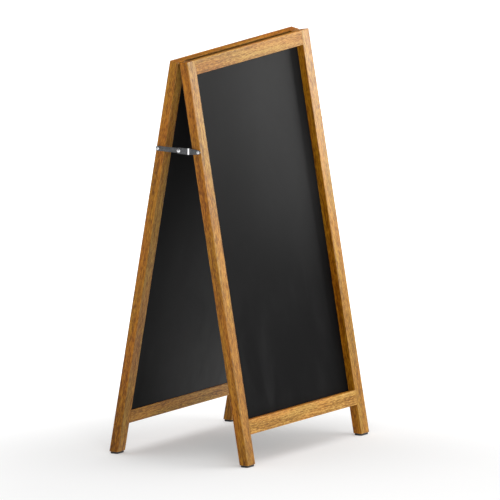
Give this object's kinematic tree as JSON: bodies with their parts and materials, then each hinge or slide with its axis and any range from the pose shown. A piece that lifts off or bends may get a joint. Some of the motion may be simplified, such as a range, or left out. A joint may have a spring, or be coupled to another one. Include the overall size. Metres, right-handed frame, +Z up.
{
  "type": "menu chalkboard easel",
  "caption": "Folding A-frame menu chalkboard: oak frames with black panels hinged at the top, folding steel stays at the sides and rubber feet.",
  "frame": {"origin": "on the floor, under the centre of the standing easel", "axes": "+Z up, -Y the front of the easel, X along its width with +X on the viewer's right from the front"},
  "size_m": [0.616, 0.4222, 1.0518],
  "materials": {
    "oak_frame": "straight-grained oak with a clear satin golden-brown stain, edges lightly rounded",
    "dowel_wood": "bare beech dowel, glued",
    "chalkboard": "hardboard with satin black chalkboard paint",
    "hinge_steel": "zinc-plated pressed steel, satin",
    "stay_steel": "dull zinc-plated flat steel bar",
    "bright_zinc": "bright zinc-plated fasteners",
    "foot_rubber": "matt black moulded rubber"
  },
  "bodies": {
    "front_frame": {"front_bottom_rail": "oak_frame", "front_chalkboard": "chalkboard", "front_dowel_bottom_left": "dowel_wood", "front_dowel_bottom_right": "dowel_wood", "front_dowel_top_left": "dowel_wood", "front_dowel_top_right": "dowel_wood", "front_foot_left": "foot_rubber", "front_foot_nail_left": "bright_zinc", "front_foot_nail_right": "bright_zinc", "front_foot_right": "foot_rubber", "front_stile_left": "oak_frame", "front_stile_right": "oak_frame", "front_top_rail": "oak_frame", "hinge_left_front_leaf": "hinge_steel", "hinge_left_front_screw_a": "bright_zinc", "hinge_left_front_screw_b": "bright_zinc", "hinge_left_pin": "hinge_steel", "hinge_right_front_leaf": "hinge_steel", "hinge_right_front_screw_a": "bright_zinc", "hinge_right_front_screw_b": "bright_zinc", "hinge_right_pin": "hinge_steel", "stay_left_front_screw": "bright_zinc", "stay_left_front_washer": "bright_zinc", "stay_right_front_screw": "bright_zinc", "stay_right_front_washer": "bright_zinc"},
    "back_frame": {"back_bottom_rail": "oak_frame", "back_chalkboard": "chalkboard", "back_dowel_bottom_left": "dowel_wood", "back_dowel_bottom_right": "dowel_wood", "back_dowel_top_left": "dowel_wood", "back_dowel_top_right": "dowel_wood", "back_foot_left": "foot_rubber", "back_foot_nail_left": "bright_zinc", "back_foot_nail_right": "bright_zinc", "back_foot_right": "foot_rubber", "back_stile_left": "oak_frame", "back_stile_right": "oak_frame", "back_top_rail": "oak_frame", "hinge_left_back_leaf": "hinge_steel", "hinge_left_back_screw_a": "bright_zinc", "hinge_left_back_screw_b": "bright_zinc", "hinge_right_back_leaf": "hinge_steel", "hinge_right_back_screw_a": "bright_zinc", "hinge_right_back_screw_b": "bright_zinc", "stay_left_rear_screw": "bright_zinc", "stay_left_rear_washer": "bright_zinc", "stay_right_rear_screw": "bright_zinc", "stay_right_rear_washer": "bright_zinc"},
    "stay_left_front": {"stay_left_front_arm": "stay_steel", "stay_left_rivet_head": "bright_zinc"},
    "stay_left_rear": {"stay_left_rear_arm": "stay_steel", "stay_left_rivet_tail": "bright_zinc"},
    "stay_right_front": {"stay_right_front_arm": "stay_steel", "stay_right_rivet_head": "bright_zinc"},
    "stay_right_rear": {"stay_right_rear_arm": "stay_steel", "stay_right_rivet_tail": "bright_zinc"}
  },
  "joints": [
    {"name": "frame_fold", "type": "hinge", "parent": "front_frame", "child": "back_frame", "pos_m": [0, 0, 1.0375], "axis": [-1, 0, 0], "range_deg": [0, 20]},
    {"name": "stay_left_front_pivot", "type": "hinge", "parent": "front_frame", "child": "stay_left_front", "pos_m": [-0.3025, -0.0613, 0.81772], "axis": [1, 0, 0], "range_deg": [0, 67.46]},
    {"name": "stay_left_rear_pivot", "type": "hinge", "parent": "back_frame", "child": "stay_left_rear", "pos_m": [-0.3025, 0.0613, 0.81772], "axis": [-1, 0, 0], "range_deg": [0, 50.55]},
    {"name": "stay_right_front_pivot", "type": "hinge", "parent": "front_frame", "child": "stay_right_front", "pos_m": [0.3025, -0.0613, 0.81772], "axis": [1, 0, 0], "range_deg": [0, 67.46]},
    {"name": "stay_right_rear_pivot", "type": "hinge", "parent": "back_frame", "child": "stay_right_rear", "pos_m": [0.3025, 0.0613, 0.81772], "axis": [-1, 0, 0], "range_deg": [0, 50.55]}
  ],
  "couplings": [
    {"joint": "stay_left_front_pivot", "follows": "frame_fold", "ratio": 3.3729},
    {"joint": "stay_left_rear_pivot", "follows": "frame_fold", "ratio": 2.5274},
    {"joint": "stay_right_front_pivot", "follows": "frame_fold", "ratio": 3.3729},
    {"joint": "stay_right_rear_pivot", "follows": "frame_fold", "ratio": 2.5274}
  ]
}
